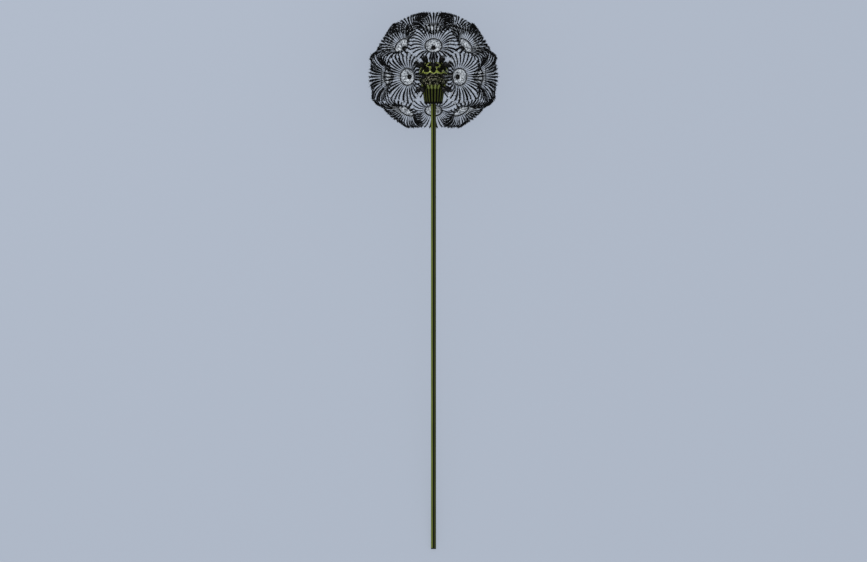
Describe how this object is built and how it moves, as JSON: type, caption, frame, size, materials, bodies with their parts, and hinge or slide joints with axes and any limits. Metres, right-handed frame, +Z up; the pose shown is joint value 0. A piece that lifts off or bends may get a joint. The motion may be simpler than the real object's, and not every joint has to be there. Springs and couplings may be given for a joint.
{
  "type": "dandelion seed head",
  "caption": "Round dandelion seed head: parachute seeds standing in a pitted receptacle, bent-back bracts below it and a long straight hollow stem, lying on its side.",
  "frame": {"origin": "middle of the overall box, on the surface that the head and the cut end rest on", "axes": "+Y along the stem from its cut end to the seed head, +Z up from the surface, +X to the right"},
  "size_m": [0.0482, 0.2076, 0.0494],
  "materials": {
    "stem": "waxy olive green, finely ribbed lengthwise",
    "receptacle": "glossy olive green, pitted",
    "bracts": "dark olive green, dull, with a paler midrib",
    "seed": "charcoal achene and barbed bristles with silvery inner hairs"
  },
  "bodies": {
    "root": {"stem": "stem", "receptacle": "receptacle", "involucre": "bracts", "seed_crown": "seed", "seed_upper_1": "seed", "seed_upper_2": "seed", "seed_upper_3": "seed", "seed_upper_4": "seed", "seed_upper_5": "seed", "seed_upper_6": "seed", "seed_shoulder_1": "seed", "seed_shoulder_2": "seed", "seed_shoulder_3": "seed", "seed_shoulder_4": "seed", "seed_shoulder_5": "seed", "seed_shoulder_6": "seed", "seed_shoulder_7": "seed", "seed_shoulder_8": "seed", "seed_middle_1": "seed", "seed_middle_2": "seed", "seed_middle_3": "seed", "seed_middle_4": "seed", "seed_middle_5": "seed", "seed_middle_6": "seed", "seed_middle_7": "seed", "seed_middle_8": "seed", "seed_middle_9": "seed", "seed_middle_10": "seed", "seed_middle_11": "seed", "seed_lower_1": "seed", "seed_lower_2": "seed", "seed_lower_3": "seed", "seed_lower_4": "seed", "seed_lower_5": "seed", "seed_lower_6": "seed", "seed_lower_7": "seed"}
  },
  "joints": []
}
